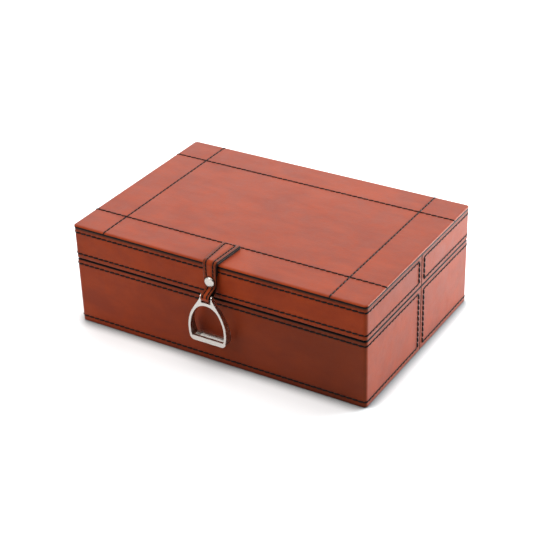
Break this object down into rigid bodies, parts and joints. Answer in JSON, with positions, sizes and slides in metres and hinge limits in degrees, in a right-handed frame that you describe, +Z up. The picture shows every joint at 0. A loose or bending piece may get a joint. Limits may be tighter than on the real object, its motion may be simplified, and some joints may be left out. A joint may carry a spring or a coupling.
{
  "type": "leather stationery box",
  "caption": "Hinged leather-covered stationery box with stitched panels and a riveted pull strap that holds a metal stirrup.",
  "frame": {"origin": "centre of the underside, on the surface that the box stands on", "axes": "+X along the width to the right, +Y from the front with the stirrup to the hinges at the back, +Z up"},
  "size_m": [0.3044, 0.2239, 0.1064],
  "materials": {
    "leather": "smooth reddish-brown bridle leather with soft mottling and a low sheen",
    "strap_leather": "smooth reddish-brown leather with glossy black painted edges",
    "rim_leather": "leather with black inked and burnished edges",
    "lining": "brown napped suede-like lining",
    "underside": "dark brown napped cover",
    "timber": "plain pale board, hidden",
    "thread": "thick waxed near-black thread",
    "hinge_metal": "satin nickel plate",
    "polished_metal": "polished nickel plate"
  },
  "bodies": {
    "base": {"base_board_bottom": "timber", "base_board_front": "timber", "base_board_back": "timber", "base_board_left": "timber", "base_board_right": "timber", "base_leather_front": "leather", "base_leather_back": "leather", "base_rim_band": "rim_leather", "underside_cover": "underside", "base_lining_floor": "lining", "base_lining_front": "lining", "base_lining_back": "lining", "base_lining_left": "lining", "base_lining_right": "lining", "base_thread_front": "thread", "base_thread_back": "thread", "hinge_leaf_base_left": "hinge_metal", "hinge_leaf_base_right": "hinge_metal", "hinge_pin_left": "hinge_metal", "hinge_pin_right": "hinge_metal", "hinge_screws_base": "hinge_metal"},
    "lid": {"lid_board_top": "timber", "lid_board_front": "timber", "lid_board_back": "timber", "lid_board_left": "timber", "lid_board_right": "timber", "lid_leather_front": "leather", "lid_leather_back": "leather", "lid_rim_band": "rim_leather", "lid_top_leather": "leather", "lid_top_underlay": "rim_leather", "lid_lining_top": "lining", "lid_lining_front": "lining", "lid_lining_back": "lining", "lid_lining_left": "lining", "lid_lining_right": "lining", "lid_thread_front": "thread", "lid_thread_back": "thread", "lid_thread_top": "thread", "hinge_leaf_lid_left": "hinge_metal", "hinge_leaf_lid_right": "hinge_metal", "hinge_screws_lid": "hinge_metal", "strap_face": "strap_leather", "strap_lining": "strap_leather", "strap_thread": "thread", "rivet_cap": "polished_metal", "rivet_post": "polished_metal", "rivet_washer": "polished_metal"},
    "stirrup": {"stirrup": "polished_metal"}
  },
  "joints": [
    {"name": "lid_hinge", "type": "hinge", "parent": "base", "child": "lid", "pos_m": [0, 0.1049, 0.0675], "axis": [-1, 0, 0], "range_deg": [0, 95]},
    {"name": "stirrup_swing", "type": "hinge", "parent": "lid", "child": "stirrup", "pos_m": [0, -0.1123, 0.0735], "axis": [-1, 0, 0], "range_deg": [-3.5, 175]}
  ]
}
